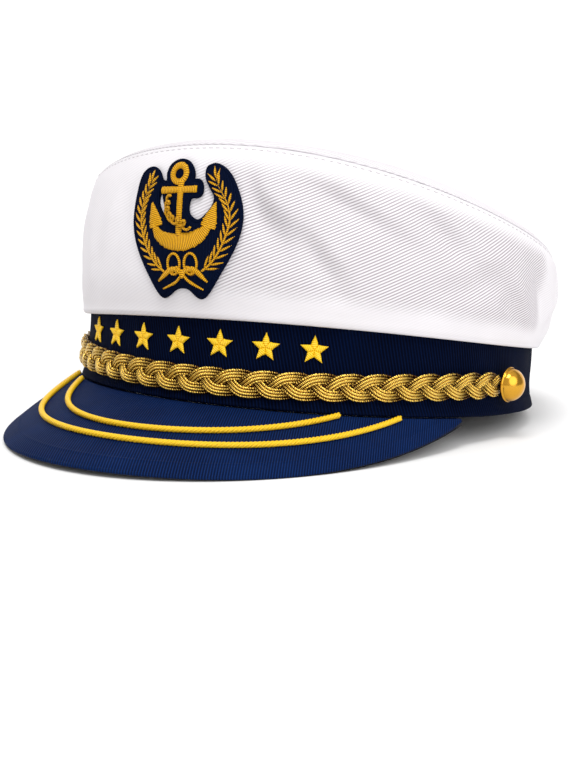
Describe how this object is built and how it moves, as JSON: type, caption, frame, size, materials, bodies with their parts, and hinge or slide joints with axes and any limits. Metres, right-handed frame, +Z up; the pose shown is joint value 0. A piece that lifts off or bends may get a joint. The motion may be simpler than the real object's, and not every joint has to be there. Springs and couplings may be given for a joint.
{
  "type": "captain hat",
  "caption": "Soft-topped captain hat with a banded head opening, a curved front peak, a plaited cord between domed buttons and a stitched anchor patch.",
  "frame": {"origin": "on the resting surface, under the middle of the hat's box", "axes": "+Z up, the peak points along -Y, the wearer's left is +X, the hat leans back as it rests on its peak and the back of its band"},
  "size_m": [0.2034, 0.2686, 0.1154],
  "materials": {
    "white_twill": "matte cotton twill",
    "navy_twill": "matte ribbed cotton",
    "navy_felt": "matte felt",
    "yellow_thread": "satin stitched thread",
    "gold_cord": "metallic gold cord",
    "gold_metal": "polished"
  },
  "bodies": {
    "root": {"head_band": "navy_twill", "peak": "navy_twill", "crown_side": "white_twill", "crown_top": "white_twill", "peak_cord_outer": "yellow_thread", "peak_cord_inner": "yellow_thread", "chin_braid": "gold_cord", "button_left": "gold_metal", "button_right": "gold_metal", "band_star_1": "yellow_thread", "band_star_2": "yellow_thread", "band_star_3": "yellow_thread", "band_star_4": "yellow_thread", "band_star_5": "yellow_thread", "band_star_6": "yellow_thread", "band_star_7": "yellow_thread", "emblem_backing": "navy_felt", "emblem_anchor": "yellow_thread", "emblem_rope": "yellow_thread", "emblem_branch_left": "yellow_thread", "emblem_branch_right": "yellow_thread", "emblem_bow": "yellow_thread"}
  },
  "joints": []
}
